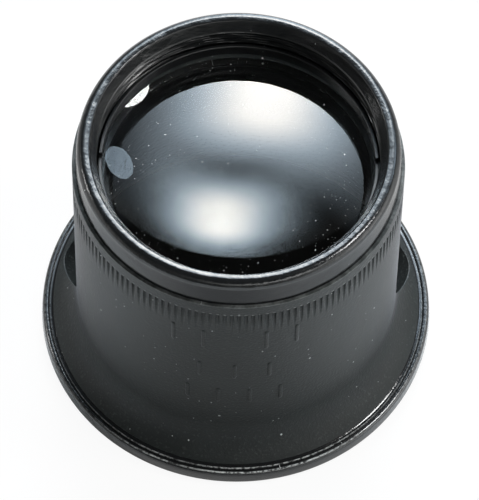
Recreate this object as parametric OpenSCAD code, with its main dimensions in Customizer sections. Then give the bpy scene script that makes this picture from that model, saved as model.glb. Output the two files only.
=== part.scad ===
// Eye loupe: a bell that is held in the eye socket, and a threaded lens holder in its neck.
// Millimetres. The bell stands on its eye rim at z = 0, and +Z is the optical axis.

/* [Eye rim] */
// Outside diameter of the bead round the eye opening
rim_d = 40; // [38:0.5:44]
// Diameter of the bead's round section
bead_d = 1.9; // [1.4:0.1:2.4]
// Width of the rim, from the outside of the bead in to the eye opening
rim_w = 2.8; // [2.2:0.1:3.4]
// Width of the fine groove between the bead and the bell
groove_w = 0.3; // [0.2:0.02:0.44]

/* [Bell] */
// Height of the bell, from its rest face to the seam under the lens holder
bell_h = 29.3; // [27:0.1:34]
// Thickness of the neck's wall outside the roots of its thread
neck_wall = 0.9; // [0.7:0.05:1.5]
// Taper of the neck on each side, in degrees
neck_taper = 1; // [0:0.1:1.4]
// Height at which the neck starts to flare out to the rim
flare_z = 6.8; // [5.6:0.1:9]
// Thickness of the bell's wall
wall = 1.4; // [1.1:0.1:1.8]

/* [Vent holes] */
// Diameter of each vent hole
vent_d = 11.6; // [5:0.1:12]
// Height of the vent holes' centres
vent_z = 8.2; // [8:0.1:13]
// Angle of each vent hole from the middle of the front, in degrees
vent_angle = 106; // [60:1:120]

/* [Grip flutes] */
// Number of flutes round the neck
flute_n = 150; // [90:2:160]
// Width of a flute
flute_w = 0.36; // [0.25:0.01:0.42]
// Depth of a flute at its top end
flute_depth = 0.28; // [0.15:0.01:0.35]
// Length of a flute
flute_h = 3.3; // [2:0.1:4.5]
// Distance from the seam down to the flutes' top ends
flute_drop = 1.5; // [1:0.1:2]

/* [Lens holder] */
// Height of the holder's head above the seam
head_h = 3.15; // [2.9:0.05:4]
// Step in from the neck's outside to the head's outside
head_step = 0.3; // [0.1:0.05:0.4]
// Lean of the head's side towards the axis over its height
head_lean = 0.2; // [0:0.05:0.3]
// Length of the threaded sleeve below the seam
sleeve_h = 4.4; // [4.2:0.1:5.5]
// Thickness of the sleeve between the roots of its two threads
sleeve_wall = 0.665; // [0.5:0.005:1]
// Radius of the round outer shoulder of the head
shoulder_r = 0.85; // [0.5:0.05:1]
// Width of the level ring on top of the lip
lip_w = 0.4; // [0.2:0.05:0.6]
// Depth of the chamfer inside the lip
chamfer_h = 1.1; // [0.7:0.05:1.3]
// Thickness of the ledge under the lens
ledge_t = 0.8; // [0.6:0.1:1.5]
// Overlap of the ledge under the lens's edge
ledge_w = 0.75; // [0.5:0.05:1.2]

/* [Lens] */
// Diameter of the lens
lens_d = 26.6; // [25:0.1:26.8]
// Radius of curvature of the upper face
lens_curve = 56; // [45:0.5:120]
// Radius of curvature of the lower face
lens_base_curve = 76; // [45:0.5:120]
// Thickness of the lens at its edge
lens_edge = 2.2; // [1.2:0.1:2.6]

/* [Retaining ring] */
// Height of the ring that holds the lens down
ring_h = 1.3; // [1:0.1:1.6]
// Width of the ring, from its bore to the roots of its thread
ring_w = 0.34; // [0.25:0.01:0.5]
// Width of the two spanner slots in the ring
slot_w = 1.2; // [0.8:0.1:2]
// Depth of the spanner slots
slot_depth = 0.5; // [0.3:0.05:0.7]

/* [Threads] */
// Pitch of the thread between the bell and the holder
neck_pitch = 1; // [0.9:0.05:1.2]
// Pitch of the thread between the holder and the retaining ring
ring_pitch = 0.8; // [0.7:0.05:0.9]
// Height of a thread's ridge in the neck
neck_ridge = 0.4; // [0.3:0.02:0.44]
// Height of a thread's ridge round the retaining ring
ring_ridge = 0.24; // [0.18:0.01:0.28]
// Plain length between the end of a neck thread and the end of its wall
thread_run = 0.5; // [0.4:0.05:0.7]

/* [Fits] */
// Clearance between a thread's ridge and the root that it faces
thread_gap = 0.15; // [0.1:0.01:0.18]
// Clearance round the lens and above it
lens_gap = 0.06; // [0.04:0.01:0.1]
// Width of the open seam between the bell and the holder's head
seam_gap = 0.05; // [0.03:0.01:0.1]
// Clearance under the holder's sleeve
sleeve_gap = 0.4; // [0.2:0.05:0.6]

/* [Hidden] */

// Small overlap that lets one solid join or cut another cleanly
joint_eps = 0.1;
// Steps in one turn of a thread
turn_steps = 48;
// Steps over which a thread's ridge rises at each end
lead_steps = 6;
// Steps in an eighth of a round outline
arc_steps = 6;
// Angle that the flare turns through, in degrees
flare_turn = 70;
// Half the width of a thread's crest, as a share of its pitch
crest_share = 0.06;

// Radius of the rounded edge at the top of the neck
edge_round = 0.25;
// Size of the small steps and breaks at the ends of the holder's ring thread
corner = 0.1;
// How far the ends of a thread's ridge sink into its wall
ridge_sink = 0.02;
// How far a cutter runs on past what it cuts
cut_past = 1;

// Lens holder, worked out from the lens outwards
lens_r = lens_d / 2;
ledge_r = lens_r - ledge_w;
pocket_r = lens_r + lens_gap;
ring_crest_r = pocket_r + lens_gap;
ring_root_r = ring_crest_r + ring_ridge + thread_gap / 2;
sleeve_r = ring_root_r + sleeve_wall;

// Bell, worked out from the holder's sleeve outwards
bore_r = sleeve_r + neck_ridge + thread_gap;
neck_r = bore_r + neck_wall;
flare_r = neck_r + (bell_h - flare_z) * tan(neck_taper);
cavity_r = flare_r - wall;
rim_r = rim_d / 2;
bead_r = bead_d / 2;
eye_r = rim_r - rim_w;
flare_end_r = rim_r - bead_r;

// Heights of the holder
sleeve_bottom = bell_h - sleeve_h;
bore_bottom = sleeve_bottom - sleeve_gap;
ledge_top = sleeve_bottom + ledge_t;
head_bottom = bell_h + seam_gap;
top_z = head_bottom + head_h;
neck_thread_low = sleeve_bottom + sleeve_gap;
neck_thread_high = bell_h - thread_run;

// Lens: its lower face rests on the ledge's inner edge
lens_centre_drop = sqrt(lens_curve * lens_curve - lens_r * lens_r);
base_centre_drop = sqrt(lens_base_curve * lens_base_curve - lens_r * lens_r);
ledge_centre_drop = sqrt(lens_base_curve * lens_base_curve - ledge_r * ledge_r);
lens_bulge = lens_curve - lens_centre_drop;
base_bulge = lens_base_curve - base_centre_drop;
lens_low_edge = ledge_top + ledge_centre_drop - base_centre_drop + lens_gap;
lens_top_edge = lens_low_edge + lens_edge;

// Head of the holder
head_r = neck_r - head_step;
shoulder_out_r = head_r - head_lean;
lip_out_r = shoulder_out_r - shoulder_r;
lip_in_r = lip_out_r - lip_w;
thread_top = top_z - chamfer_h - corner;

// Retaining ring, whose inner edge lies just over the lens's upper face
ring_out_r = ring_crest_r - thread_gap / 2;
ring_in_r = ring_out_r - ring_w;
ring_centre_drop = sqrt(lens_curve * lens_curve - ring_in_r * ring_in_r);
ring_bottom = lens_top_edge + ring_centre_drop - lens_centre_drop + lens_gap;
ring_top = ring_bottom + ring_h;

// Outside radius of the neck at a height
function neck_at(z) = neck_r + (bell_h - z) * tan(neck_taper);

// Points of an arc in the plane of radius and height
function arc(cr, cz, r, a0, a1, n) =
    [for (i = [0:n]) let (a = a0 + (a1 - a0) * i / n) [cr + r * cos(a), cz + r * sin(a)]];

// Points of the flare, from the neck (r0, z0) down to the rim (r1, z1)
function flare(r0, z0, r1, z1, n) =
    let (out = (r1 - r0) / (1 - cos(flare_turn)), drop = (z0 - z1) / sin(flare_turn))
    [for (i = [0:n]) let (a = flare_turn * i / n) [r0 + out * (1 - cos(a)), z0 - drop * sin(a)]];

// How far a ridge has risen at a step: nought at both ends and one along the thread
function ridge_rise(i, n) = min(1, i / lead_steps, (n - i) / lead_steps);

// A right-hand thread's ridge on the wall at radius base. It rises outward for a positive height.
module thread_ridge(base, height, pitch, z0, z1) {
    n = floor((z1 - z0) / pitch * turn_steps);
    side = sign(height);
    foot = abs(height) * tan(30);
    crest_w = pitch * crest_share;
    points = [for (i = [0:n])
        let (a = 360 * i / turn_steps, z = z0 + pitch * i / turn_steps,
             tip = base + height * ridge_rise(i, n) - side * ridge_sink)
        for (p = [[base - side * joint_eps, -foot - crest_w], [tip, -crest_w],
                  [tip, crest_w], [base - side * joint_eps, foot + crest_w]])
            [p[0] * cos(a), p[0] * sin(a), z + p[1]]];
    walls = [for (i = [0:n - 1], j = [0:3])
        let (k = (j + 1) % 4, a = 4 * i + j, b = 4 * i + k, c = a + 4, d = b + 4)
        for (t = [[a, b, d], [a, d, c]]) side > 0 ? t : [t[0], t[2], t[1]]];
    first = [[0, 2, 1], [0, 3, 2]];
    last = [for (t = first) [4 * n + t[0], 4 * n + t[2], 4 * n + t[1]]];
    ends = [for (t = concat(first, last)) side > 0 ? t : [t[0], t[2], t[1]]];
    polyhedron(points, concat(walls, ends), convexity = 6);
}

// Outline of the bell's wall
module bell_outline() {
    polygon(concat(
        [[eye_r, 0], [rim_r - bead_r, 0]],
        arc(rim_r - bead_r, bead_r, bead_r, -90, 90, 4 * arc_steps),
        [for (i = [2 * arc_steps:-1:0]) flare(flare_r, flare_z, flare_end_r, bead_d, 2 * arc_steps)[i]],
        arc(neck_r - edge_round, bell_h - edge_round, edge_round, 0, 90, arc_steps),
        [[bore_r, bell_h], [bore_r, bore_bottom], [cavity_r, bore_bottom - (bore_r - cavity_r)]],
        flare(cavity_r, flare_z - wall / 2, eye_r, 0, 2 * arc_steps)));
}

// Fine groove that sets the bead off from the bell
module bead_groove() {
    rotate_extrude($fn = 144)
        translate([flare_end_r, bead_d]) circle(d = groove_w, $fn = 16);
}

// One grip flute: a round cutter that leans out of the wall at its lower end
module flute_cutter() {
    z_top = bell_h - flute_drop;
    z_low = z_top - flute_h;
    r_top = neck_at(z_top) - flute_depth + flute_w / 2;
    r_low = neck_at(z_low) + flute_w / 2;
    lean = atan((r_low - r_top) / flute_h);
    translate([r_top, 0, z_top]) rotate([0, 180 - lean, 0])
        cylinder(d = flute_w, h = flute_h + cut_past, $fn = 8);
}

module housing() {
    color("#1b1c1e") {
        difference() {
            rotate_extrude($fn = 144) bell_outline();
            bead_groove();
            for (side = [-1, 1])
                rotate([0, 0, -90 + side * vent_angle]) translate([0, 0, vent_z])
                    rotate([0, 90, 0]) cylinder(d = vent_d, h = rim_r + cut_past, $fn = 72);
            for (i = [0:flute_n - 1]) rotate([0, 0, 360 * i / flute_n]) flute_cutter();
        }
        rotate([0, 0, 180])
            thread_ridge(bore_r, -neck_ridge, neck_pitch, neck_thread_low, neck_thread_high);
    }
}

// Outline of the lens holder without its threads
module holder_outline() {
    polygon(concat(
        [[ledge_r, sleeve_bottom], [sleeve_r, sleeve_bottom], [sleeve_r, head_bottom],
         [head_r, head_bottom]],
        arc(lip_out_r, top_z - shoulder_r, shoulder_r, 0, 90, 2 * arc_steps),
        [[lip_in_r, top_z], [ring_crest_r + corner, top_z - chamfer_h], [ring_crest_r, thread_top],
         [ring_root_r, thread_top - corner], [ring_root_r, lens_top_edge + 2 * corner],
         [pocket_r, lens_top_edge], [pocket_r, ledge_top], [ledge_r, ledge_top]]));
}

module lens_holder() {
    color("#151618") {
        rotate_extrude($fn = 144) holder_outline();
        thread_ridge(sleeve_r, neck_ridge, neck_pitch, neck_thread_low, neck_thread_high);
        thread_ridge(ring_root_r, -ring_ridge, ring_pitch, lens_top_edge + 5 * corner,
                     thread_top - 3 * corner);
    }
}

module lens() {
    color("#dfe9ea") intersection() {
        translate([0, 0, lens_low_edge - 2 * base_bulge])
            cylinder(r = lens_r, h = lens_edge + 2 * base_bulge + 2 * lens_bulge, $fn = 144);
        translate([0, 0, lens_low_edge + base_centre_drop])
            sphere(r = lens_base_curve, $fn = 144);
        translate([0, 0, lens_top_edge - lens_centre_drop]) sphere(r = lens_curve, $fn = 144);
    }
}

module retaining_ring() {
    color("#101113") {
        difference() {
            translate([0, 0, ring_bottom]) cylinder(r = ring_out_r, h = ring_h, $fn = 144);
            translate([0, 0, ring_bottom - cut_past])
                cylinder(r = ring_in_r, h = ring_h + 2 * cut_past, $fn = 144);
            translate([0, 0, ring_top])
                cube([lens_d + 2 * cut_past, slot_w, 2 * slot_depth], center = true);
        }
        rotate([0, 0, 180])
            thread_ridge(ring_out_r, ring_ridge, ring_pitch, ring_bottom + 4 * corner,
                         ring_top - 3 * corner);
    }
}

housing();
lens_holder();
lens();
retaining_ring();
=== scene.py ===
"""Looks of an eye loupe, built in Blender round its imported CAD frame.

The bell, the lens holder, the lens and its retaining ring are turned meshes with real
threads, flutes, vents and rounded edges. Shapes are in millimetres until a mesh is made;
finishes, lamps and the camera are in metres.
"""

from __future__ import annotations

import logging
import math
from dataclasses import dataclass
from enum import Enum
from functools import partial, reduce
from typing import Any, Callable, Iterable, Sequence

import bmesh
import bpy
import numpy as np
from mathutils import Matrix, Vector

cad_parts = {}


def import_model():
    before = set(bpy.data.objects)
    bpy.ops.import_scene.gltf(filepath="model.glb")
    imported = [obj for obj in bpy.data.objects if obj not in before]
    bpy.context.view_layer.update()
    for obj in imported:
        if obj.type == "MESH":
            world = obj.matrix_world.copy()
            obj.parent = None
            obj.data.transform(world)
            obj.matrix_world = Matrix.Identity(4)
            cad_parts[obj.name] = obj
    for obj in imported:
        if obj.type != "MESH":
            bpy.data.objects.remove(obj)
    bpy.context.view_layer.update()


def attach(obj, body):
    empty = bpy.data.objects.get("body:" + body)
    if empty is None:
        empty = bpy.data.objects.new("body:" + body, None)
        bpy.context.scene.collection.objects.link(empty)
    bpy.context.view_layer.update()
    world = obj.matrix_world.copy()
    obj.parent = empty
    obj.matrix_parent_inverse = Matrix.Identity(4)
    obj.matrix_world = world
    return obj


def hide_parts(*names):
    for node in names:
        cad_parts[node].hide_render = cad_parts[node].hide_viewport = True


Point = tuple[float, float]
Pair = tuple[float, float]
Colour = tuple[float, float, float]
Rows = tuple[float, float, int]
Wall = Callable[[Any], Any]

LOG = logging.getLogger("eye_loupe")
METRES = 0.001
TURN = 2 * math.pi
WHITE: Colour = (1.0, 1.0, 1.0)
# Angles of the columns: one on each flute and one between flutes.
COLUMNS = 300
ANGLES = (np.arange(COLUMNS) - 1) * (TURN / COLUMNS)
# The thread between bell and holder, and the one that the retaining ring runs in.
THREAD_DEPTH, THREAD_PITCH, THREAD_LOW, THREAD_HIGH = 0.4, 1.0, 25.3, 28.8
RING_DEPTH, RING_PITCH = 0.24, 0.8
# The share of a stretch that the rounding at one of its ends may take up.
ROUND_SHARE = 0.49


class Slot(Enum):
    """The record's material slots."""

    BELL = "bell_plastic"
    HOLDER = "holder_plastic"
    LENS = "lens_glass"
    RING = "ring_plastic"


class Body(Enum):
    """The bodies that pieces ride on."""

    HOUSING = "housing"
    HOLDER = "lens_holder"
    LENS = "lens"


# ---- shader graphs


class Signal:
    """A value on its way through a shader, with Python's own operators."""

    def __init__(self, graph: Graph, socket: bpy.types.NodeSocket) -> None:
        """Wraps one output socket of a graph."""
        self.graph = graph
        self.socket = socket

    def __add__(self, other: Signal | float) -> Signal:
        """Sum."""
        return self.graph.math("ADD", self, other)

    __radd__ = __add__

    def __sub__(self, other: Signal | float) -> Signal:
        """Difference."""
        return self.graph.math("SUBTRACT", self, other)

    def __rsub__(self, other: float) -> Signal:
        """Difference from a number on the left."""
        return self.graph.math("SUBTRACT", other, self)

    def __mul__(self, other: Signal | float) -> Signal:
        """Product."""
        return self.graph.math("MULTIPLY", self, other)

    __rmul__ = __mul__

    def __lt__(self, other: Signal | float) -> Signal:
        """One where this value is the smaller."""
        return self.graph.math("LESS_THAN", self, other)

    def __gt__(self, other: Signal | float) -> Signal:
        """One where this value is the greater."""
        return self.graph.math("GREATER_THAN", self, other)


class Graph:
    """A node tree that is written as Python expressions."""

    def __init__(self, tree: bpy.types.NodeTree) -> None:
        """Empties the tree and keeps it."""
        self.tree = tree
        tree.nodes.clear()

    def node(self, kind: str, settings: dict[str, Any] | None = None,
             inputs: dict[str | int, Any] | None = None) -> bpy.types.Node:
        """Adds any node.

        Args:
            kind: The node's type name, without its ShaderNode prefix.
            settings: Properties of the node, which are set first.
            inputs: Values or signals for its sockets, by name or number.

        Returns:
            The new node.
        """
        made = self.tree.nodes.new("ShaderNode" + kind)
        for name, value in (settings or {}).items():
            setattr(made, name, value)
        for name, value in (inputs or {}).items():
            socket = made.inputs[name]
            if isinstance(value, Signal):
                self.tree.links.new(value.socket, socket)
            elif socket.type == "RGBA":
                socket.default_value = (*value, 1.0)
            else:
                socket.default_value = value
        return made

    def out(self, node: bpy.types.Node, name: str | int = 0) -> Signal:
        """The signal that leaves a node's output."""
        return Signal(self, node.outputs[name])

    def math(self, operation: str, *values: Signal | float) -> Signal:
        """A Math node on one to three values."""
        return self.out(self.node("Math", {"operation": operation}, dict(enumerate(values))))

    def most(self, *values: Signal) -> Signal:
        """The greatest of some values."""
        return reduce(partial(self.math, "MAXIMUM"), values)

    def vector(self, operation: str, *values: Signal | Sequence[float],
               result: str = "Vector", **more: Signal | float) -> Signal:
        """A Vector Math node; more holds inputs by name, such as Scale."""
        inputs = {**dict(enumerate(values)), **more}
        return self.out(self.node("VectorMath", {"operation": operation}, inputs), result)

    def split(self, vector: Signal) -> tuple[Signal, Signal, Signal]:
        """The three parts of a vector."""
        made = self.node("SeparateXYZ", inputs={0: vector})
        return self.out(made, 0), self.out(made, 1), self.out(made, 2)

    def join(self, x: Signal | float, y: Signal | float, z: Signal | float = 0.0) -> Signal:
        """A vector from three parts."""
        return self.out(self.node("CombineXYZ", inputs={0: x, 1: y, 2: z}))

    def mix(self, factor: Signal | float, first: Signal | Colour,
            second: Signal | Colour) -> Signal:
        """A mix of two colours."""
        made = self.node("Mix", {"data_type": "RGBA"}, {0: factor, 6: first, 7: second})
        return self.out(made, 2)

    def blend(self, value: Signal, low: float, high: float,
              at_low: float = 0.0, at_high: float = 1.0) -> Signal:
        """A smooth step of a value between two limits."""
        return self.out(self.node("MapRange", {"interpolation_type": "SMOOTHSTEP"},
                                  {0: value, 1: low, 2: high, 3: at_low, 4: at_high}))

    def noise(self, place: Signal, size: float, detail: float = 2.0,
              roughness: float = 0.5) -> Signal:
        """Noise whose features are about size metres wide."""
        return self.out(self.node("TexNoise", inputs={
            "Vector": place, "Scale": 1 / size, "Detail": detail, "Roughness": roughness}))

    def cells(self, flat: Signal, size: float) -> tuple[bpy.types.Node, tuple[Signal, ...]]:
        """Scattered points about size metres apart, and three random numbers of each."""
        made = self.node("TexVoronoi", {"voronoi_dimensions": "2D"},
                         {"Vector": flat, "Scale": 1 / size, "Randomness": 1.0})
        return made, self.split(self.out(made, "Color"))

    def object_place(self) -> Signal:
        """The place of a point on its object, in metres."""
        return self.out(self.node("TexCoord"), "Object")

    def unrolled(self, place: Signal, radius: float) -> Signal:
        """A turned surface laid flat: metres round it and metres up it."""
        x, y, z = self.split(place)
        return self.join(self.math("ARCTAN2", y, x) * radius, z)

    def principled(self, values: dict[str, Any], height: Signal | None = None,
                   strength: float = 1.0, distance: float = 1.0) -> Signal:
        """A Principled shader.

        Args:
            values: Values or signals for its sockets.
            height: The height of a bump over it, in units of distance.
            strength: The bump's strength.
            distance: The bump's distance in metres.

        Returns:
            The shader.
        """
        if height is not None:
            bump = self.node("Bump", inputs={"Strength": strength, "Distance": distance,
                                             "Height": height})
            values = {**values, "Normal": self.out(bump)}
        return self.out(self.node("BsdfPrincipled", inputs=values))


# ---- finishes


@dataclass(frozen=True)
class Specks:
    """Dust specks scattered over a flat place."""

    cell: float
    radius: float
    share: float
    shift: Pair = (0.0, 0.0)

    def mask(self, g: Graph, flat: Signal) -> Signal:
        """One on a speck and nought elsewhere."""
        made, (red, green, _) = g.cells(g.vector("ADD", flat, (*self.shift, 0.0)), self.cell)
        return (g.out(made, "Distance") * self.cell < green * self.radius) * (red < self.share)


@dataclass(frozen=True)
class Lint:
    """Short bent fibres and fine scratches scattered over a flat place."""

    cell: float
    length: float
    width: float
    share: float
    bend: float = 0.8

    def mask(self, g: Graph, flat: Signal) -> Signal:
        """Where the fibres lie.

        Args:
            g: The material's graph.
            flat: The point's place.

        Returns:
            One on a fibre and nought elsewhere.
        """
        made, (red, green, blue) = g.cells(flat, self.cell)
        middle = g.vector("SCALE", g.out(made, "Position"), Scale=self.cell)
        dx, dy, _ = g.split(g.vector("SUBTRACT", flat, middle))
        turn = green * TURN
        cos, sin = g.math("COSINE", turn), g.math("SINE", turn)
        along = dx * cos + dy * sin
        bend = along * along * ((blue - 0.5) * (self.bend / self.length))
        across = g.math("ABSOLUTE", dy * cos - dx * sin + bend)
        inside = g.math("ABSOLUTE", along) < blue * self.length
        return (across < self.width) * inside * (red < self.share)


@dataclass(frozen=True)
class Finish:
    """A material whose surface each kind of finish works out in its own way."""

    name: str

    def build(self) -> bpy.types.Material:
        """Makes the material.

        Returns:
            The material, with its graph filled in.
        """
        made = bpy.data.materials.new(self.name)
        made.use_nodes = True
        g = Graph(made.node_tree)
        g.node("OutputMaterial", inputs={"Surface": self.surface(g)})
        return made

    def surface(self, g: Graph) -> Signal:
        """The finish's shader, which each kind gives."""
        raise NotImplementedError


@dataclass(frozen=True)
class SatinPlastic(Finish):
    """Fine-grained moulded black plastic with a little dust and wear."""

    colour: Colour = (0.0095, 0.0118, 0.0115)
    dust_colour: Colour = (0.42, 0.44, 0.43)
    roughness: float = 0.48
    ior: float = 1.38
    sheen: float = 0.20
    sheen_roughness: float = 0.22
    sheen_tint: Colour = (0.95, 0.93, 1.0)
    grain: float = 0.00026
    grain_depth: float = 0.00005
    grain_roughness: float = 0.10
    speckle: float = 0.045
    patch: float = 0.004
    patch_gain: float = 1.25
    patch_roughness: float = 0.08
    radius: float = 0.0175
    dust: float = 0.16
    wear_and_highlight: float = 0.35
    mark_depth: float = 0.00001
    flutes: int = 0
    flute_top: float = 0.0278
    flute_end: float = 0.00011
    seam: float = 0.0292

    def surface(self, g: Graph) -> Signal:
        """The satin shader.

        Args:
            g: The material's graph.

        Returns:
            The shader.
        """
        place = g.object_place()
        flat = g.unrolled(place, self.radius)
        grain = g.noise(place, self.grain, 2.0, 0.6)
        speckle = g.blend(g.noise(place, self.grain, 1.0), 0.56, 0.78, 0.0, self.speckle)
        patches = g.noise(place, self.patch, 3.0, 0.6)
        dirt = (Specks(cell=0.0013, radius=0.00008, share=self.dust),
                Specks(cell=0.0031, radius=0.00013, share=self.dust, shift=(0.37, 0.11)),
                Lint(cell=0.0042, length=0.0008, width=0.000022, share=self.wear_and_highlight))
        marks = g.most(*(part.mask(g, flat) for part in dirt))
        if self.flutes:
            marks = g.most(marks, self.pale_flecks(g, place))
        shade = g.mix(g.blend(patches, 0.3, 0.7), self.colour,
                      tuple(self.patch_gain * c for c in self.colour))
        dusty = g.most(speckle, marks * g.blend(grain, 0.2, 0.6, 0.35, 1.0))
        rough = (self.roughness + (patches - 0.5) * self.patch_roughness
                 + (grain - 0.5) * self.grain_roughness)
        return g.principled({"Base Color": g.mix(dusty, shade, self.dust_colour),
                             "Roughness": rough, "IOR": self.ior,
                             "Sheen Weight": self.sheen,
                             "Sheen Roughness": self.sheen_roughness,
                             "Sheen Tint": self.sheen_tint},
                            grain * self.grain_depth + marks * self.mark_depth)

    def pale_flecks(self, g: Graph, place: Signal) -> Signal:
        """Pale flecks at the flutes' upper ends, and a pale film on the neck above the seam.

        Args:
            g: The material's graph.
            place: The point's place on the bell.

        Returns:
            How pale the point is.
        """
        x, y, z = g.split(place)
        in_flute = g.math("COSINE", g.math("ARCTAN2", y, x) * float(self.flutes)) > 0.35
        off = g.math("ABSOLUTE", z - self.flute_top)
        spots = g.noise(g.unrolled(place, self.radius), 0.0009, 1.0) > 0.42
        end = in_flute * (off < self.flute_end) * spots * 0.55
        film = g.blend(g.noise(place, 0.0012, 2.0), 0.3, 0.7, 0.05, 0.25)
        return g.most(end, (z > self.seam) * film)


@dataclass(frozen=True)
class GlossPlastic(Finish):
    """Polished black plastic whose skin is slightly wavy.

    Each of its painted highlights, a pale broken band along an edge, has a radius and half a
    width.
    """

    colour: Colour = (0.008, 0.0085, 0.009)
    dust_colour: Colour = (0.40, 0.42, 0.41)
    roughness: float = 0.12
    ior: float = 1.5
    wave: float = 0.0016
    wave_depth: float = 0.00003
    wave_roughness: float = 0.10
    pit: float = 0.00022
    pit_depth: float = 0.000006
    radius: float = 0.015
    dust: float = 0.12
    mark_share: float = 0.8
    mark_roughness: float = 0.3
    coat: float = 0.0
    coat_roughness: float = 0.06
    # Painted highlights: pale bands along edges, strongest towards the front.
    painted_highlights: tuple[Pair, ...] = ()
    highlight_front: Pair = (-0.0185, -0.0125)

    def surface(self, g: Graph) -> Signal:
        """The gloss shader.

        Args:
            g: The material's graph.

        Returns:
            The shader.
        """
        place = g.object_place()
        flat = g.unrolled(place, self.radius)
        waves = g.noise(place, self.wave, 2.0, 0.5)
        pits = g.noise(place, self.pit, 2.0, 0.6)
        dirt = (Specks(cell=0.0014, radius=0.00007, share=self.dust),
                Lint(cell=0.0047, length=0.0007, width=0.00002, share=0.3))
        # Dust specks, lint and the painted highlight bands all take the pale colour.
        marks = g.most(*(part.mask(g, flat) for part in dirt),
                       *(self.wear_and_highlight(g, place, *edge) for edge in self.painted_highlights))
        colour = g.mix(marks * self.mark_share, self.colour, self.dust_colour)
        rough = (self.roughness + (waves - 0.5) * self.wave_roughness
                 + marks * self.mark_roughness)
        return g.principled({"Base Color": colour, "Roughness": rough,
                             "IOR": self.ior, "Coat Weight": self.coat,
                             "Coat Roughness": self.coat_roughness},
                            waves * self.wave_depth + pits * self.pit_depth)

    def wear_and_highlight(self, g: Graph, place: Signal, radius: float, width: float) -> Signal:
        """Painted highlight: a pale broken band along an edge round the axis, stronger at the
        front.

        Args:
            g: The material's graph.
            place: The point's place on the part.
            radius: The edge's radius.
            width: Half the width of the painted band.

        Returns:
            How strongly the highlight is painted on the point.
        """
        x, y, _ = g.split(place)
        out = g.vector("LENGTH", g.join(x, y), result="Value")
        band = g.blend(g.math("ABSOLUTE", out - radius), 0.3 * width, width, 1.0, 0.0)
        broken = g.blend(g.noise(place, 0.0004, 2.0, 0.6), 0.36, 0.6, 0.1, 1.0)
        uneven = g.blend(g.noise(place, 0.006, 1.0), 0.35, 0.65, 0.4, 1.0)
        # Painted highlight: full at the front of the part, fainter towards the back.
        return band * broken * uneven * g.blend(y, *self.highlight_front, 1.0, 0.22)


@dataclass(frozen=True)
class LensGlass(Finish):
    """Clear crown glass with dust on it."""

    colour: Colour = (0.97, 0.99, 0.985)
    ior: float = 1.523
    dust_colour: Colour = (0.75, 0.76, 0.74)
    dust_roughness: float = 0.8
    dust_share: float = 0.75
    dust: float = 0.82
    dust_grain: float = 0.00017
    cloud: float = 0.0035

    def surface(self, g: Graph) -> Signal:
        """The polished faces' shader.

        Args:
            g: The material's graph.

        Returns:
            The shader.
        """
        place = g.object_place()
        x, y, _ = g.split(place)
        fine = g.noise(place, self.dust_grain, 0.0) > self.dust
        cloud = g.blend(g.noise(place, self.cloud, 2.0), 0.42, 0.62)
        dirt = (Specks(cell=0.0027, radius=0.00010, share=0.2, shift=(0.19, 0.53)),
                Lint(cell=0.0052, length=0.0005, width=0.00002, share=0.4))
        marks = g.most(fine * cloud, *(part.mask(g, g.join(x, y)) for part in dirt))
        glass = g.principled({"Base Color": self.colour, "Roughness": 0.0, "IOR": self.ior,
                              "Transmission Weight": 1.0})
        dust = g.principled({"Base Color": self.dust_colour,
                             "Roughness": self.dust_roughness})
        return g.out(g.node("MixShader", inputs={0: marks * self.dust_share, 1: glass,
                                               2: dust}))


@dataclass(frozen=True)
class GroundGlass(Finish):
    """The lens's ground edge."""

    low: Colour = (0.03, 0.035, 0.035)
    high: Colour = (0.09, 0.10, 0.10)
    grain: float = 0.0001
    roughness: float = 0.55
    ior: float = 1.5

    def surface(self, g: Graph) -> Signal:
        """The ground edge's shader."""
        grain = g.noise(g.object_place(), self.grain, 2.0, 0.6)
        return g.principled({"Base Color": g.mix(grain, self.low, self.high),
                             "Roughness": self.roughness, "IOR": self.ior},
                            grain, strength=0.6, distance=0.00001)


@dataclass(frozen=True)
class Tabletop(Finish):
    """The white table with a painted shadow, a dark disc under the loupe's rim.

    Its white is its own glow, for camera rays and, behind the loupe, for mirrored ones.
    """

    white: Colour = (0.84, 0.84, 0.84)
    # Painted shadow: the table's colour under the loupe's rim.
    painted_shadow: Colour = (0.02, 0.02, 0.02)
    glow: float = 0.93
    back: Pair = (-0.012, 0.012)
    back_glow: float = 0.9
    # Radius of the painted shadow disc.
    rim: float = 0.0185

    def surface(self, g: Graph) -> Signal:
        """The table's shader.

        Args:
            g: The material's graph.

        Returns:
            The shader.
        """
        path, place = g.node("LightPath"), g.object_place()
        # Painted shadow: inside the rim the table is dark and does not glow.
        outside = g.vector("LENGTH", place, result="Value") > self.rim
        behind = g.blend(g.split(place)[1], *self.back, 0.0, self.back_glow)
        colour = g.mix(outside, self.painted_shadow, self.white)
        diffuse = g.out(g.node("BsdfDiffuse", inputs={"Color": colour}))
        plain = g.out(g.node("Emission", inputs={"Color": WHITE, "Strength": 1.0}))
        seen = g.out(path, "Is Camera Ray") * self.glow + g.out(path, "Is Glossy Ray") * behind
        return g.out(g.node("MixShader", inputs={0: seen * outside, 1: diffuse, 2: plain}))


# ---- meshes


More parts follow.
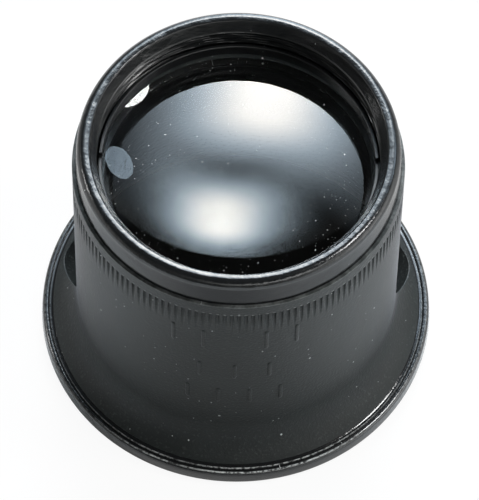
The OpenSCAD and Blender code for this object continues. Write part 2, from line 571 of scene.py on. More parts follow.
class MeshDraft:
    """Collects rings of points and the faces between them."""

    def __init__(self, name: str) -> None:
        """Starts an empty mesh."""
        self.name = name
        self.blocks: list[np.ndarray] = []
        self.count = 0
        self.faces: list[tuple[int, ...]] = []
        self.slots: list[int] = []

    def points(self, places: np.ndarray) -> np.ndarray:
        """Adds points.

        Args:
            places: Places of the points, one row each.

        Returns:
            The points' numbers.
        """
        first = self.count
        self.blocks.append(np.asarray(places, float))
        self.count += len(places)
        return np.arange(first, self.count)

    def ring(self, radius: np.ndarray | float, height: np.ndarray | float,
             angles: np.ndarray = ANGLES) -> np.ndarray:
        """Adds a ring of points round the axis.

        Args:
            radius: The points' radius, or one for each.
            height: The points' height, or one for each.
            angles: The points' angles.

        Returns:
            The points' numbers.
        """
        radius = np.broadcast_to(radius, angles.shape)
        height = np.broadcast_to(height, angles.shape)
        return self.points(np.stack([radius * np.cos(angles), radius * np.sin(angles),
                                     height], -1))

    def turned(self, outline: Iterable[Point]) -> list[np.ndarray]:
        """Adds a ring for each point of an outline."""
        return [self.ring(radius, height) for radius, height in outline]

    def rows(self, wall: Wall, heights: Iterable[float]) -> list[np.ndarray]:
        """Adds a ring of a wall at each height."""
        return [self.ring(wall(height), height) for height in heights]

    def face(self, corners: Iterable[int], slot: int) -> None:
        """Adds a face."""
        self.faces.append(tuple(int(corner) for corner in corners))
        self.slots.append(slot)

    def band(self, first: np.ndarray, second: np.ndarray, slot: int,
             skip: np.ndarray | None = None) -> None:
        """Joins two rings with quads.

        Args:
            first: One ring.
            second: The other ring.
            slot: The material slot.
            skip: Columns to leave out.
        """
        quads = np.stack([first, np.roll(first, -1), np.roll(second, -1), second], -1)
        for quad in quads if skip is None else quads[~skip]:
            self.face(quad, slot)

    def fan(self, coarse: np.ndarray, fine: np.ndarray, slot: int) -> None:
        """Joins a coarse ring to a finer one that starts at the same column.

        Args:
            coarse: The coarse ring.
            fine: The finer ring, with a whole number of points to each coarse one.
            slot: The material slot.
        """
        ratio = len(fine) // len(coarse)
        for k, (start, stop) in enumerate(zip(coarse, np.roll(coarse, -1))):
            tail = [fine[(ratio * k + i) % len(fine)] for i in range(ratio, -1, -1)]
            self.face([start, stop, *tail], slot)

    def skin(self, rings: Sequence[np.ndarray], slot: int) -> None:
        """Joins rings in turn."""
        for first, second in zip(rings, rings[1:]):
            self.band(first, second, slot)

    def disc(self, ring: np.ndarray, centre: tuple[float, float, float], slot: int) -> None:
        """Closes a ring with a small fan of triangles.

        Args:
            ring: The ring.
            centre: Where the triangles meet.
            slot: The material slot.
        """
        middle = self.points(np.array([centre]))[0]
        for start, stop in zip(ring, np.roll(ring, -1)):
            self.face((start, stop, middle), slot)

    def build(self, materials: Sequence[bpy.types.Material],
              sharp: float = 35.0) -> bpy.types.Object:
        """Makes the object.

        Args:
            materials: The materials that the faces' slots stand for.
            sharp: Edges that turn by more degrees than this stay sharp.

        Returns:
            The linked object.
        """
        mesh = bpy.data.meshes.new(self.name)
        places = np.concatenate(self.blocks) * METRES
        mesh.from_pydata(places.tolist(), [], self.faces)
        for material in materials:
            mesh.materials.append(material)
        mesh.polygons.foreach_set("material_index", self.slots)
        shape = bmesh.new()
        shape.from_mesh(mesh)
        bmesh.ops.recalc_face_normals(shape, faces=shape.faces)
        shape.to_mesh(mesh)
        shape.free()
        mesh.polygons.foreach_set("use_smooth", [True] * len(mesh.polygons))
        mesh.set_sharp_from_angle(angle=math.radians(sharp))
        made = bpy.data.objects.new(self.name, mesh)
        bpy.context.scene.collection.objects.link(made)
        return made


def arc(centre: Point, radius: float, start: float, stop: float, steps: int) -> list[Point]:
    """Points of an arc in the plane of radius and height, angles in degrees."""
    turns = np.radians(np.linspace(start, stop, steps + 1))
    return [(centre[0] + radius * math.cos(a), centre[1] + radius * math.sin(a))
            for a in turns]


def softened(corners: Sequence[tuple[float, float, float]], steps: int = 4) -> list[Point]:
    """Rounds the inner corners of an open outline.

    Args:
        corners: Radius, height and rounding of each corner.
        steps: Steps in each rounding.

    Returns:
        The points of the rounded outline.
    """
    points: list[Point] = [corners[0][:2]]
    for before, here, after in zip(corners, corners[1:], corners[2:]):
        p, q, s = (Vector(c[:2]) for c in (before, here, after))
        if here[2] <= 0:
            points.append((q.x, q.y))
            continue
        reach = min(here[2], ROUND_SHARE * (p - q).length, ROUND_SHARE * (s - q).length)
        a, b = q + (p - q).normalized() * reach, q + (s - q).normalized() * reach
        for t in np.linspace(0.0, 1.0, steps + 1).tolist():
            spot = (1 - t) ** 2 * a + 2 * t * (1 - t) * q + t * t * b
            points.append((spot.x, spot.y))
    points.append(corners[-1][:2])
    return points


def divided(points: Sequence[Point], longest: float) -> list[Point]:
    """Splits the long stretches of an outline into even steps.

    Args:
        points: The outline.
        longest: The longest step that stays whole.

    Returns:
        The points of the divided outline.
    """
    result: list[Point] = [points[0]]
    for (r0, z0), (r1, z1) in zip(points, points[1:]):
        steps = max(1, math.ceil(math.hypot(r1 - r0, z1 - z0) / longest))
        result += [(r0 + (r1 - r0) * i / steps, z0 + (z1 - z0) * i / steps)
                   for i in range(1, steps + 1)]
    return result


@dataclass(frozen=True)
class Flare:
    """The curve by which a wall widens to the rim, part of an upright ellipse."""

    top_radius: float
    top: float
    end_radius: float
    bottom: float
    turn: float = 70.0

    def radius(self, height: np.ndarray | float) -> np.ndarray:
        """The wall's radius at a height, upright above the flare.

        Args:
            height: One height or more.

        Returns:
            The radius at each.
        """
        turn = math.radians(self.turn)
        out = (self.end_radius - self.top_radius) / (1 - math.cos(turn))
        drop = (self.top - self.bottom) / math.sin(turn)
        share = np.clip((self.top - np.asarray(height, float)) / drop, 0.0, 1.0)
        return self.top_radius + out * (1 - np.sqrt(1 - share ** 2))


@dataclass(frozen=True)
class Thread:
    """A right-hand thread's ridge on a wall; a height under nought points inwards."""

    base: float
    height: float
    pitch: float
    low: float
    high: float
    start: float = 0.0
    crest: float = 0.06
    lead: float = 0.125
    flank_turn: float = 30.0
    length_steps: int = 48

    def radius(self, angles: np.ndarray, height: np.ndarray | float) -> np.ndarray:
        """The threaded wall's radius.

        Args:
            angles: Angles round the axis.
            height: The height of all of them, or one for each.

        Returns:
            The radius at each angle.
        """
        share = np.mod(angles - self.start, TURN) / TURN
        turns = (height - self.low) / self.pitch
        along = np.round(turns - share) + share
        length = (math.floor((self.high - self.low) / self.pitch * self.length_steps)
                  / self.length_steps)
        away = np.abs(turns - along) * self.pitch
        foot = abs(self.height) * math.tan(math.radians(self.flank_turn))
        flank = np.clip((foot + self.pitch * self.crest - away) / foot, 0.0, 1.0)
        rise = np.clip(np.minimum(along, length - along) / self.lead, 0.0, 1.0)
        return self.base + self.height * flank * rise


@dataclass(frozen=True)
class Vent:
    """A round hole through the bell's wall, square to the axis."""

    azimuth: float
    height: float = 8.2
    radius: float = 5.8
    edge: float = 0.12
    edge_steps: int = 5

    def clock(self, angles: np.ndarray, heights: np.ndarray, reach: float) -> np.ndarray:
        """The direction of each boundary point as seen from the hole's middle."""
        return np.arctan2(heights - self.height, reach * np.sin(angles - self.azimuth))

    def place(self, wall: Wall, clock: np.ndarray, radius: float,
              depth: float = 0.0) -> tuple[np.ndarray, np.ndarray]:
        """Places on or under a wall, round the hole.

        Args:
            wall: Gives the wall's radius at a height.
            clock: Directions round the hole.
            radius: Distance from the hole's axis.
            depth: How far in from the wall the places lie.

        Returns:
            The places, and their angles round the bell.
        """
        side, height = radius * np.cos(clock), self.height + radius * np.sin(clock)
        out = np.sqrt(wall(height) ** 2 - side ** 2) - depth
        c, s = math.cos(self.azimuth), math.sin(self.azimuth)
        places = np.stack([out * c - side * s, out * s + side * c, height], -1)
        return places, self.azimuth + np.arctan2(side, out)


@dataclass(frozen=True)
class Block:
    """The boundary of the cells of a wall that a vent takes the place of."""

    numbers: np.ndarray
    angles: np.ndarray
    heights: np.ndarray


@dataclass
class Bell:
    """The eye cup: rim, bead, flare, vents, fluted neck and inside thread."""

    rim_radius: float = 20.0
    bead_radius: float = 0.95
    eye_radius: float = 17.2
    eye_edge: float = 0.03
    face_rows: int = 8
    crest_radius: float = 0.45
    crest_inset: float = 0.09
    crest_height: float = 1.66
    lip: tuple[Point, ...] = ((0.22, 1.98), (0.19, 1.90), (0.16, 1.95), (0.15, 2.05),
                              (0.135, 2.12), (0.10, 2.155), (0.05, 2.16), (-0.03, 2.16),
                              (-0.15, 2.20), (-0.27, 2.25))
    height: float = 29.3
    neck_radius: float = 15.85
    neck_rows: int = 18
    taper: float = 1.0
    flare_height: float = 6.8
    flare_inset: float = 0.07
    flare_rise: float = 0.2
    wall: float = 1.4
    bore_radius: float = 14.95
    bore_bottom: float = 24.5
    bore_rows: int = 74
    mouth: tuple[Point, ...] = ((0.12, 0.0), (0.03, 0.02), (0.0, 0.1))
    flute_count: int = 150
    flute_width: float = 0.36
    flute_depth: float = 0.28
    flute_length: float = 3.3
    flute_drop: float = 1.5
    flute_middle: float = 26.0
    flute_slack: float = 1.001
    flute_columns: tuple[float, ...] = (-1.07, -1.0, -0.86, -0.5, 0.0, 0.5, 0.86, 1.0, 1.07)
    flute_rows: tuple[float, ...] = (-3.7, -3.4, -3.1, -2.8, -2.5, -2.1, -1.6, -1.1, -0.7,
                                     -0.35, -0.1, -0.03, 0.0, 0.02, 0.1, 0.25)
    band_rows: tuple[float, ...] = (28.2, 28.6, 28.95)
    top_edge: float = 0.04
    vent_turns: Pair = (16.0, 164.0)
    block_low: float = 2.32
    block_high: float = 14.7
    block_rows: int = 36
    block_crowding: float = 1.35
    block_turn: float = 24.6
    block_shares: tuple[float, ...] = (0.25, 0.5, 0.7, 0.85, 0.95)
    inner_low: float = 1.8
    inner_low_rows: int = 12

    def __post_init__(self) -> None:
        """Works out the two walls, the flutes' ends and the vents."""
        self.bead_seat = self.rim_radius - self.bead_radius
        self.flare_radius = self.neck_radius + (self.height - self.flare_height) * self.lean
        self.cavity_radius = self.flare_radius - self.wall
        self.outer = Flare(self.flare_radius, self.flare_height,
                           self.bead_seat + self.flare_inset,
                           2 * self.bead_radius + self.flare_rise)
        self.inner = Flare(self.cavity_radius, self.flare_height - self.wall / 2,
                           self.eye_radius, 0.0)
        self.flute_top = self.height - self.flute_drop
        self.neck_top = self.flute_top + self.flute_rows[0]
        self.vents = [Vent(math.radians(turn)) for turn in self.vent_turns]

    @property
    def lean(self) -> float:
        """How far the neck's side leans in for each millimetre up."""
        return math.tan(math.radians(self.taper))

    def outside(self, height: np.ndarray | float) -> np.ndarray:
        """The outer wall's radius at a height, without flutes."""
        above = np.maximum(np.asarray(height, float) - self.flare_height, 0.0)
        return self.outer.radius(height) - above * self.lean

    def build(self, materials: Sequence[bpy.types.Material]) -> bpy.types.Object:
        """Makes the bell.

        Args:
            materials: Satin outside, gloss bead, gloss bore, the inside's plastic and
                the vents' walls.

        Returns:
            The bell.
        """
        satin, gloss, bore, inside, cut = range(5)
        draft = MeshDraft("bell")
        rim = draft.turned(self.rim_outline())
        outer, outer_blocks = self.vent_wall(draft, self.outside, self.block_low, satin)
        neck_heights = np.linspace(self.block_high, self.neck_top, self.neck_rows)[1:]
        neck = draft.rows(self.outside, neck_heights)
        flutes = self.flute_rings(draft)
        top = draft.turned(self.top_outline())
        thread = self.bore_rings(draft)
        cavity = draft.turned(self.cavity_outline())
        inner, inner_blocks = self.vent_wall(draft, self.inner.radius, self.inner_low, inside)
        low_heights = np.linspace(self.inner_low, 2 * self.eye_edge, self.inner_low_rows)
        low = draft.rows(self.inner.radius, low_heights[1:])
        draft.skin(rim[:self.face_rows + 1], inside)
        draft.skin(rim[self.face_rows:], gloss)
        draft.skin([rim[-1], outer[0]], satin)
        draft.skin([outer[-1]] + neck, satin)
        draft.fan(neck[-1], flutes[0], satin)
        draft.skin(flutes, satin)
        draft.fan(top[0], flutes[-1], satin)
        draft.skin(top, satin)
        draft.skin([top[-1]] + thread, bore)
        draft.skin([thread[-1]] + cavity + [inner[-1]], inside)
        draft.skin([inner[0]] + low + [rim[0]], inside)
        for vent, outer_block, inner_block in zip(self.vents, outer_blocks, inner_blocks):
            clock = vent.clock(outer_block.angles, outer_block.heights,
                               float(self.outside(vent.height)))
            draft.band(self.vent_edge(draft, vent, clock, self.outside, outer_block, satin),
                       self.vent_edge(draft, vent, clock, self.inner.radius, inner_block,
                                      inside, -1), cut)
        return draft.build(materials, sharp=38.0)

    def rim_outline(self) -> list[Point]:
        """The rest face, the bead, the groove and the raised lip that ends the flare.

        Returns:
            The outline, from the eye's side out and up.
        """
        seat, bead, crest = self.bead_seat, self.bead_radius, self.crest_radius
        first = softened([(self.eye_radius, self.eye_edge, 0),
                          (self.eye_radius + self.eye_edge, 0, 0.01), (seat, 0, 0)])
        under = arc((seat, bead), bead, -90, -4, 14)
        middle = (self.rim_radius - self.crest_inset - crest, self.crest_height)
        lip = [(seat + out, height) for out, height in self.lip]
        return (divided(first, longest=0.4) + under[1:] + arc(middle, crest, 0, 120, 13)
                + lip)

    def vent_wall(self, draft: MeshDraft, wall: Wall, low: float,
                  slot: int) -> tuple[list[np.ndarray], list[Block]]:
        """Skins the rows of a wall that the vents interrupt.

        Args:
            draft: The mesh.
            wall: Gives the wall's radius at a height.
            low: Height of the lowest row; the rows are closer together near it.
            slot: The material slot.

        Returns:
            The rows, and the boundary of each vent's block.
        """
        share = np.linspace(0.0, 1.0, self.block_rows) ** self.block_crowding
        heights = low + (self.block_high - low) * share
        rings = draft.rows(wall, heights)
        step, reach = TURN / COLUMNS, math.radians(self.block_turn)
        skip = np.zeros(COLUMNS, bool)
        blocks = []
        for vent in self.vents:
            first = round((vent.azimuth - reach) / step) + 1
            last = round((vent.azimuth + reach) / step) + 1
            skip[np.arange(first, last) % COLUMNS] = True
            along, top = range(first, last + 1), len(rings) - 1
            cells = ([(0, c) for c in along] + [(j, last) for j in range(1, top + 1)]
                     + [(top, c) for c in along[-2::-1]]
                     + [(j, first) for j in range(top - 1, 0, -1)])
            blocks.append(Block(np.array([rings[j][c % COLUMNS] for j, c in cells]),
                                np.array([(c - 1) * step for _, c in cells]),
                                np.array([heights[j] for j, _ in cells])))
        for lower, upper in zip(rings, rings[1:]):
            draft.band(lower, upper, slot, skip)
        return rings, blocks

    def vent_edge(self, draft: MeshDraft, vent: Vent, clock: np.ndarray, wall: Wall,
                  block: Block, slot: int, side: int = 1) -> np.ndarray:
        """Fills a block of a wall round a vent, up to the hole's rounded edge.

        Args:
            draft: The mesh.
            vent: The vent.
            clock: Directions round the hole.
            wall: Gives the wall's radius at a height.
            block: The block's boundary.
            slot: The material slot.
            side: One where the hole leads in from the wall, minus one where it leads out.

        Returns:
            The ring where the hole's own wall begins.
        """
        edge, out = vent.edge, vent.radius + vent.edge
        _, ends = vent.place(wall, clock, out)
        ends = block.angles + (np.mod(ends - block.angles + math.pi, TURN) - math.pi)
        tops = vent.height + out * np.sin(clock)
        rows = [block.numbers]
        for share in self.block_shares:
            level = block.heights + (tops - block.heights) * share
            rows.append(draft.ring(wall(level), level,
                                   block.angles + (ends - block.angles) * share))
        for turn in np.radians(np.linspace(0, 90, vent.edge_steps + 1)):
            places, _ = vent.place(wall, clock, vent.radius + edge * (1 - math.sin(turn)),
                                   side * edge * (1 - math.cos(turn)))
            rows.append(draft.points(places))
        draft.skin(rows, slot)
        return rows[-1]

    def flute_rings(self, draft: MeshDraft) -> list[np.ndarray]:
        """Rings of the fluted band, with ten columns to each flute.

        Args:
            draft: The mesh.

        Returns:
            The rings, from the bottom up.
        """
        half, pitch = self.flute_width / 2, 360 / self.flute_count
        edge = math.degrees(half / self.outside(self.flute_middle))
        offsets = np.array([-pitch / 2, *(share * edge for share in self.flute_columns)])
        starts = np.arange(self.flute_count) * pitch
        angles = np.radians((starts[:, None] + offsets[None, :]).ravel())
        side = np.tile(np.radians(offsets), self.flute_count)
        r_top = self.outside(self.flute_top) - self.flute_depth + half
        r_low = self.outside(self.flute_top - self.flute_length) + half
        rings = []
        for row in self.flute_rows:
            z = self.flute_top + row
            radius = np.full(angles.shape, float(self.outside(z)))
            if row <= 0:
                centre = r_top - (r_low - r_top) * row / self.flute_length
                across = np.sin(side) * self.outside(z)
                cut = centre - np.sqrt(np.maximum(half ** 2 - across ** 2, 0.0))
                inside = np.abs(across) < half * self.flute_slack
                radius = np.where(inside, np.minimum(radius, cut), radius)
            rings.append(draft.ring(radius, z, angles))
        return rings

    def top_outline(self) -> list[Point]:
        """The plain band over the flutes and the rounded top edge.

        Returns:
            The outline, from the bottom up and in.
        """
        edge = self.top_edge
        up = [(float(self.outside(z)), z) for z in self.band_rows]
        mouth = [(self.bore_radius + out, self.height - drop) for out, drop in self.mouth]
        return up + arc((self.neck_radius - edge, self.height - edge), edge, 0, 90, 5) + mouth

    def bore_rings(self, draft: MeshDraft) -> list[np.ndarray]:
        """Rings of the bore with its inside thread.

        Args:
            draft: The mesh.

        Returns:
            The rings, from the top down.
        """
        thread = Thread(self.bore_radius, -THREAD_DEPTH, THREAD_PITCH, THREAD_LOW,
                        THREAD_HIGH, start=math.pi)
        heights = np.linspace(self.height - 0.2, self.bore_bottom + 0.05, self.bore_rows)
        return draft.rows(partial(thread.radius, ANGLES), heights)

    def cavity_outline(self) -> list[Point]:
        """The step under the bore and the upright inside of the neck.

        Returns:
            The outline, from the top down.
        """
        step = self.bore_radius - self.cavity_radius
        corners = [(self.bore_radius, self.bore_bottom, 0),
                   (self.cavity_radius, self.bore_bottom - step, 0.05),
                   (self.cavity_radius, self.block_high + 0.3, 0)]
        return divided(softened(corners), longest=1.2)


@dataclass
class Marks:
    """Three rows of plain raised bars on the front of the bell, a generic ornament.

    Each row has its height on the bell, the bars' length and their places round it.
    """

    bell: Bell
    width: float = 0.42
    lift: float = 0.11
    sink: float = 0.10
    rows: tuple[tuple[float, float, tuple[float, ...]], ...] = (
        (22.9, 3.2, (-6.0, -3.0, 3.0, 6.0)), (17.0, 2.6, (-3.4, 0.0, 3.4)),
        (12.1, 2.6, (-4.6, -1.55, 1.55, 4.6)))
    columns: int = 14
    end_turns: tuple[float, ...] = (8, 30, 55, 90)
    middle_rows: int = 8

    def build(self, materials: Sequence[bpy.types.Material]) -> bpy.types.Object:
        """Makes all the bars as one piece.

        Args:
            materials: The bell's satin.

        Returns:
            The bars.
        """
        draft = MeshDraft("moulded_marks")
        for height, tall, places in self.rows:
            for middle in places:
                self.raise_bar(draft, middle, height, tall)
        return draft.build(materials, sharp=60.0)

    def raise_bar(self, draft: MeshDraft, middle: float, height: float,
                  tall: float) -> None:
        """Raises one upright bar with round ends.

        Args:
            draft: The mesh.
            middle: The bar's place round the bell, in millimetres.
            height: The height of its middle.
            tall: Its length.
        """
        half = self.width / 2
        ends = half * (1 - np.cos(np.radians(self.end_turns)))
        between = np.linspace(half, tall - half, self.middle_rows)[1:-1]
        around = np.radians(np.linspace(0, 360, self.columns + 1)[:-1])
        rings = []
        for level in np.concatenate([ends, between, tall - ends[::-1]]):
            end = min(level, tall - level, half) / half
            full = math.sqrt(1 - (1 - end) ** 2)
            z = height - tall / 2 + level
            rise = np.where(np.sin(around) > 0, self.lift, self.sink) * np.sin(around) * full
            radius = self.bell.outside(z) + rise
            angle = -math.pi / 2 + (middle + np.cos(around) * half * full) / radius
            rings.append(draft.ring(radius, z, angle))
        draft.skin(rings, 0)
        draft.face(rings[0], 0)
        draft.face(rings[-1], 0)


@dataclass
class Holder:
    """The lens holder: a threaded sleeve under a round-shouldered head."""

    ledge_radius: float = 12.55
    ledge_top: float = 25.7
    sleeve_radius: float = 14.4
    sleeve_bottom: float = 24.9
    sleeve_rows: Rows = (25.2, 29.0, 80)
    head_bottom: float = 29.315
    head_radius: float = 15.55
    side_lean: float = 0.03
    side_low: float = 29.75
    shoulder: float = 0.85
    shoulder_seat: float = 14.5
    shoulder_arcs: tuple[tuple[float, float, int], ...] = ((0, 42, 9), (58, 90, 7))
    top: float = 32.5
    lip_radius: float = 14.1
    lip_drop: float = 0.05
    chamfer: float = 1.1
    crest_radius: float = 13.42
    root_radius: float = 13.735
    female_low: float = 28.6
    female_high: float = 31.0
    female_rows: Rows = (31.15, 28.4, 72)
    pocket_radius: float = 13.36
    pocket_lead: float = 0.08
    lens_top: float = 28.09

    def outlines(self) -> dict[str, list[Point]]:
        """The holder's plain stretches, between and beside its two threads.

        Returns:
            The outline of each stretch by its name.
        """
        chamfer = self.top - self.chamfer
        centre = (self.shoulder_seat, self.top - self.shoulder)
        shoulder = [point for turns in self.shoulder_arcs
                    for point in arc(centre, self.shoulder, *turns)]
        sleeve = softened([(self.ledge_radius, self.sleeve_bottom + 0.1, 0),
                           (self.ledge_radius, self.sleeve_bottom, 0.08),
                           (self.sleeve_radius, self.sleeve_bottom, 0.12),
                           (self.sleeve_radius, self.sleeve_rows[0] - 0.05, 0)])
        side = softened([(self.sleeve_radius, self.sleeve_rows[1] + 0.05, 0),
                         (self.sleeve_radius, self.head_bottom, 0.05),
                         (self.head_radius, self.head_bottom, 0.02),
                         (self.head_radius - self.side_lean, self.side_low, 0)], steps=6)
        lip = softened([(*shoulder[-1], 0), (self.lip_radius, self.top - self.lip_drop, 0.12),
                        (self.crest_radius + 0.1, chamfer, 0.10),
                        (self.crest_radius, chamfer - 0.1, 0.03),
                        (self.root_radius, chamfer - 0.2, 0)], steps=6)
        pocket = softened([(self.root_radius, self.female_rows[1] - self.pocket_lead, 0),
                           (self.pocket_radius, self.lens_top, 0.05),
                           (self.pocket_radius, self.ledge_top, 0.05),
                           (self.ledge_radius, self.ledge_top, 0.10),
                           (self.ledge_radius, self.sleeve_bottom + 0.15, 0)])
        return {"sleeve": sleeve, "side": divided(side + shoulder[:1], longest=0.4),
                "head": shoulder[1:], "lip": divided(lip[1:], longest=0.2),
                "pocket": divided(pocket, longest=0.6)}

    def build(self, materials: Sequence[bpy.types.Material]) -> bpy.types.Object:
        """Makes the holder.

        Args:
            materials: The head's gloss, the threads' plastic and the side's finish.

        Returns:
            The holder.
        """
        gloss, plain, side = range(3)
        draft = MeshDraft("lens_cell")
        rings = {name: draft.turned(points) for name, points in self.outlines().items()}
        male = Thread(self.sleeve_radius, THREAD_DEPTH, THREAD_PITCH, THREAD_LOW, THREAD_HIGH)
        female = Thread(self.root_radius, -RING_DEPTH, RING_PITCH, self.female_low,
                        self.female_high)
        for name, thread, rows in (("male", male, self.sleeve_rows),
                                   ("female", female, self.female_rows)):
            rings[name] = draft.rows(partial(thread.radius, ANGLES), np.linspace(*rows))
        chain = ("sleeve", "male", "side", "head", "lip", "female", "pocket")
        slots = {"head": gloss, "lip": gloss, "side": side}
        for name, following in zip(chain, chain[1:] + chain[:1]):
            draft.skin(rings[name] + [rings[following][0]], slots.get(name, plain))
        return draft.build(materials, sharp=40.0)


@dataclass
class LensPiece:
    """The double-convex lens with its ground edge."""

    radius: float = 13.3
    top_curve: float = 56.0
    base_curve: float = 83.0
    low_edge: float = 25.889
    top_edge: float = 28.089
    rings: int = 44
    columns: int = 240
    bevel: float = 0.07

    def build(self, materials: Sequence[bpy.types.Material]) -> bpy.types.Object:
        """Makes the lens.

        Args:
            materials: Polished glass and the ground edge.

        Returns:
            The lens.
        """
        polished, ground = range(2)
        angles = np.arange(self.columns) * (TURN / self.columns)
        radii = np.linspace(self.radius - self.bevel, 0, self.rings + 1)[:-1]
        draft = MeshDraft("lens_glass")
        edges = []
        for level, side, curve in ((self.low_edge, -1, self.base_curve),
                                   (self.top_edge, 1, self.top_curve)):
            centre = level - side * math.sqrt(curve ** 2 - self.radius ** 2)
            faces = [draft.ring(r, centre + side * math.sqrt(curve ** 2 - r * r), angles)
                     for r in radii]
            draft.skin(faces, polished)
            draft.disc(faces[-1], (0.0, 0.0, centre + side * curve), polished)
            edges.append([faces[0], draft.ring(self.radius, level - side * self.bevel,
                                               angles)])
        draft.skin(edges[0] + edges[1][::-1], ground)
        return draft.build(materials, sharp=12.0)


@dataclass
class RingPiece:
    """The threaded ring that holds the lens down, with two spanner slots."""

    outer: float = 13.345
    inner: float = 13.005
    low: float = 28.221
    height: float = 1.3
    bevel: float = 0.05
    rows: int = 34
    thread_foot: float = 0.4
    thread_head: float = 0.3
    slot_width: float = 1.2
    slot_depth: float = 0.5
    slot_wall: float = 0.0006

    def build(self, materials: Sequence[bpy.types.Material]) -> bpy.types.Object:
        """Makes the ring.

        Args:
            materials: The ring's plastic.

        Returns:
            The ring.
        """
        draft = MeshDraft("clamp_ring")
        half = self.slot_width / 2 / self.inner
        walls = [side + sign * half + shift for side in (0.0, math.pi)
                 for sign in (-1, 1) for shift in (-self.slot_wall, self.slot_wall)]
        angles = np.sort(np.concatenate([ANGLES % TURN, np.array(walls) % TURN]))
        top, bevel = self.low + self.height, self.bevel
        in_slot = np.abs(np.sin(angles)) < math.sin(half)
        ceiling = np.where(in_slot, top - self.slot_depth, top)
        thread = Thread(self.outer, RING_DEPTH, RING_PITCH, self.low + self.thread_foot,
                        top - self.thread_head, start=math.pi)
        rings = [draft.ring(self.inner, self.low + bevel, angles),
                 draft.ring(self.inner + bevel, self.low, angles),
                 draft.ring(self.outer - bevel, self.low, angles)]
        for z in np.linspace(self.low + bevel, top - bevel, self.rows):
            level = np.minimum(z, ceiling - bevel)
            radius = np.where(in_slot & (z > ceiling - bevel), self.outer,
                              thread.radius(angles, level))
            rings.append(draft.ring(radius, level, angles))
        rings += [draft.ring(self.outer - bevel, ceiling, angles),
                  draft.ring(self.inner + bevel, ceiling, angles),
                  draft.ring(self.inner, ceiling - bevel, angles)]
        draft.skin(rings + rings[:1], 0)
        return draft.build(materials, sharp=40.0)


# ---- studio


@dataclass(frozen=True)
class Lamp:
    """A round lamp that faces the loupe, placed by its direction in degrees."""

    name: str
    azimuth: float
    elevation: float
    size: float
    power: float
    colour: Colour = WHITE
    distance: float = 0.6
    aim: tuple[float, float, float] = (0.0, 0.0, 0.028)

    def build(self) -> None:
        """Hangs the lamp."""
        data = bpy.data.lights.new(self.name, "AREA")
        data.shape, data.size = "DISK", self.size
        data.energy, data.color = self.power, self.colour
        turn, rise = math.radians(self.azimuth), math.radians(self.elevation)
        away = Vector((math.sin(turn) * math.cos(rise), math.cos(turn) * math.cos(rise),
                       math.sin(rise)))
        lamp = bpy.data.objects.new(self.name, data)
        lamp.location = Vector(self.aim) + away * self.distance
        lamp.rotation_euler = (-away).to_track_quat("-Z", "Y").to_euler()
        bpy.context.scene.collection.objects.link(lamp)


@dataclass(frozen=True)
class Window:
    """A soft-edged bright patch of the surround, seen from the loupe.

    Its azimuth is in degrees from the middle of the back, its width is a share of the
    distance, and its rise and fall are limits of elevation in degrees.
    """

    azimuth: float
    width: float
    rise: Pair
    fall: Pair
    strength: float
    foot: float = 0.0
    shades: tuple[Colour, Colour] = ((0.97, 1.0, 0.98), WHITE)

    def light(self, g: Graph, toward: Signal, elevation: Signal) -> Signal:
        """The patch's light in a direction.

        Args:
            g: The world's graph.
            toward: The direction.
            elevation: Its elevation in degrees.

        Returns:
            The light's colour times its brightness.
        """
        turn = math.radians(self.azimuth)
        side = (math.cos(turn) / self.width, -math.sin(turn) / self.width, 0.0)
        front = (math.sin(turn), math.cos(turn), 0.0)
        off = g.vector("DOT_PRODUCT", toward, side, result="Value")
        ahead = g.vector("DOT_PRODUCT", toward, front, result="Value") > 0.0
        up = g.blend(elevation, *self.rise, self.foot, 1.0)
        down = g.blend(elevation, *self.fall, 1.0, 0.0)
        light = g.math("EXPONENT", off * off * -1.0) * up * down * ahead * self.strength
        shade = g.mix(g.blend(light, 0.3 * self.strength, self.strength), *self.shades)
        return g.vector("SCALE", shade, Scale=light)


BACK_WINDOW = Window(azimuth=6.0, width=0.235, rise=(21.0, 38.0), fall=(45.0, 64.0),
                     strength=21.2, foot=0.34,
                     shades=((0.72, 0.87, 1.0), (1.0, 0.99, 0.96)))
FRONT_STRIP = Window(azimuth=150.0, width=0.45, rise=(30.0, 35.0), fall=(38.0, 41.0),
                     strength=5.5)
LEFT_WALL = Window(azimuth=-90.0, width=0.55, rise=(-6.0, -2.0), fall=(16.0, 36.0),
                   strength=1.0)
RIGHT_WALL = Window(azimuth=100.0, width=0.55, rise=(-6.0, -2.0), fall=(16.0, 36.0),
                    strength=3.0)


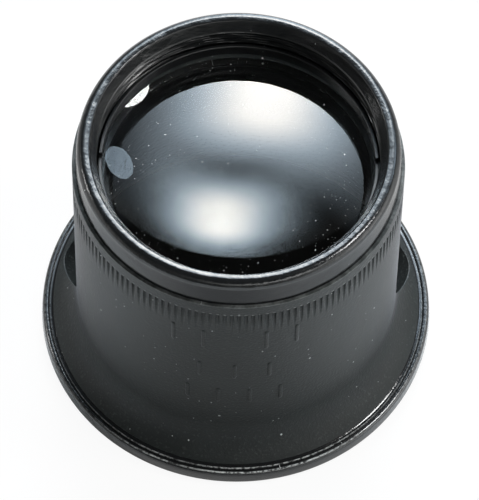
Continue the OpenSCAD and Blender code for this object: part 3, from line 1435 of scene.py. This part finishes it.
@dataclass(frozen=True)
class Studio:
    """Table, lamps, world and camera."""

    windows: tuple[Window, ...] = (BACK_WINDOW, FRONT_STRIP, LEFT_WALL, RIGHT_WALL)
    lamps: tuple[Lamp, ...] = (
        Lamp("right_lamp", azimuth=89.0, elevation=56.0, size=0.145, power=1.3),
        Lamp("left_lamp", azimuth=-75.0, elevation=25.0, size=0.100, power=0.3),
        Lamp("right_back_lamp", azimuth=52.0, elevation=42.0, size=0.126, power=0.20,
             colour=(0.66, 0.83, 1.0)))
    elevation: float = 60.15
    distance: float = 0.300
    focal_pixels: float = 3000.4
    frame_pixels: float = 500.0
    aim: tuple[float, float, float] = (0.00026, 0.0, 0.01249)
    roll: float = 1.17
    sensor: float = 36.0
    nearest: float = 0.01
    table_half: float = 900.0
    dim: Colour = (0.03, 0.032, 0.031)

    def build(self) -> None:
        """Sets the stage."""
        self.build_table()
        self.build_world()
        for lamp in self.lamps:
            lamp.build()
        self.build_camera()
        bpy.context.scene.view_settings.view_transform = "Standard"
        bpy.context.scene.cycles.sample_clamp_indirect = 0.0

    def build_table(self) -> None:
        """Lays the table."""
        draft = MeshDraft("tabletop")
        half = self.table_half
        draft.face(draft.points(np.array([(-half, -half, 0), (half, -half, 0),
                                          (half, half, 0), (-half, half, 0)])), 0)
        draft.build([Tabletop("white_table").build()])

    def build_world(self) -> None:
        """A white surround for the eye, and dim air with bright windows for the light."""
        world = bpy.data.worlds.new("studio_air")
        bpy.context.scene.world = world
        world.use_nodes = True
        g = Graph(world.node_tree)
        toward = g.out(g.node("TexCoord"), "Generated")
        elevation = g.math("ARCSINE", g.split(toward)[2]) * math.degrees(1.0)
        light = g.join(*self.dim)
        for window in self.windows:
            light = g.vector("ADD", light, window.light(g, toward, elevation))
        camera = g.out(g.node("LightPath"), "Is Camera Ray")
        air = g.node("Background", inputs={"Color": g.mix(camera, light, WHITE),
                                           "Strength": 1.0})
        g.node("OutputWorld", inputs={"Surface": g.out(air)})

    def build_camera(self) -> None:
        """The camera at the photograph's viewing angle."""
        rise, roll = math.radians(self.elevation), math.radians(self.roll)
        back = Vector((0.0, -math.cos(rise), math.sin(rise)))
        place = Vector(self.aim) + back * self.distance
        level = Vector((1.0, 0.0, 0.0))
        up = back.cross(level)
        right = math.cos(roll) * level + math.sin(roll) * up
        over = math.cos(roll) * up - math.sin(roll) * level
        data = bpy.data.cameras.new("photo_camera")
        data.sensor_width = self.sensor
        data.lens = self.focal_pixels * self.sensor / self.frame_pixels
        data.clip_start = self.nearest
        camera = bpy.data.objects.new("photo_camera", data)
        columns = Matrix((right, over, back)).transposed()
        camera.matrix_world = Matrix.Translation(place) @ columns.to_4x4()
        bpy.context.scene.collection.objects.link(camera)
        bpy.context.scene.camera = camera


# ---- assembly


@dataclass(frozen=True)
class Finishes:
    """The loupe's finishes."""

    satin: SatinPlastic = SatinPlastic("bell_satin", flutes=Bell.flute_count)
    # The bead's pale bands along its groove and crest are painted highlights; its pale colour
    # serves them and the dust.
    bead: GlossPlastic = GlossPlastic("bead_gloss", roughness=0.16, pit=0.0003,
                                      pit_depth=0.00002, radius=0.02, coat=0.6,
                                      dust_colour=(0.80, 0.82, 0.81),
                                      painted_highlights=((0.01918, 0.00007), (0.01964, 0.00010)))
    bore: GlossPlastic = GlossPlastic("bore_gloss", roughness=0.22)
    inside: SatinPlastic = SatinPlastic("inside_satin", colour=(0.010, 0.0105, 0.011),
                                        roughness=0.34, radius=0.015, dust=0.08, wear_and_highlight=0.1)
    cut: SatinPlastic = SatinPlastic("vent_satin", colour=(0.005, 0.0058, 0.0055), ior=1.12,
                                     roughness=0.7, sheen=0.0, dust=0.3)
    head: GlossPlastic = GlossPlastic("holder_gloss", roughness=0.19, wave=0.0012,
                                      wave_depth=0.00007, pit_depth=0.000016, coat=0.2)
    side: GlossPlastic = GlossPlastic("holder_side_gloss", roughness=0.16, ior=1.34)
    threads: GlossPlastic = GlossPlastic("thread_gloss", roughness=0.2, wave=0.0024)
    glass: LensGlass = LensGlass("lens_glass_clear")
    ground: GroundGlass = GroundGlass("lens_glass_ground")
    ring: GlossPlastic = GlossPlastic("ring_gloss", roughness=0.3)


def assemble(piece: bpy.types.Object, body: Body, slot: Slot, *nodes: str) -> None:
    """Rides a piece on its body and reports it.

    Args:
        piece: The piece.
        body: The body that carries it.
        slot: Its material slot in the record; not used.
        *nodes: The CAD nodes that it takes the place of.
    """
    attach(piece, body.value)
    if nodes:
        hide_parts(*nodes)
    LOG.info("%s: %d faces on %s", piece.name, len(piece.data.polygons), body.value)


def main() -> None:
    """Builds the loupe and its studio in order."""
    logging.basicConfig(level=logging.INFO, format="%(message)s")
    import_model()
    Studio().build()
    looks, bell = Finishes(), Bell()
    satin = looks.satin.build()
    housing = bell.build([satin, *(finish.build() for finish in (
        looks.bead, looks.bore, looks.inside, looks.cut))])
    assemble(housing, Body.HOUSING, Slot.BELL, "housing")
    assemble(Marks(bell).build([satin]), Body.HOUSING, Slot.BELL)
    assemble(Holder().build([looks.head.build(), looks.threads.build(), looks.side.build()]),
             Body.HOLDER, Slot.HOLDER, "lens_holder")
    assemble(LensPiece().build([looks.glass.build(), looks.ground.build()]),
             Body.LENS, Slot.LENS, "lens")
    assemble(RingPiece().build([looks.ring.build()]),
             Body.HOLDER, Slot.RING, "retaining_ring")


if __name__ == "__main__":
    main()
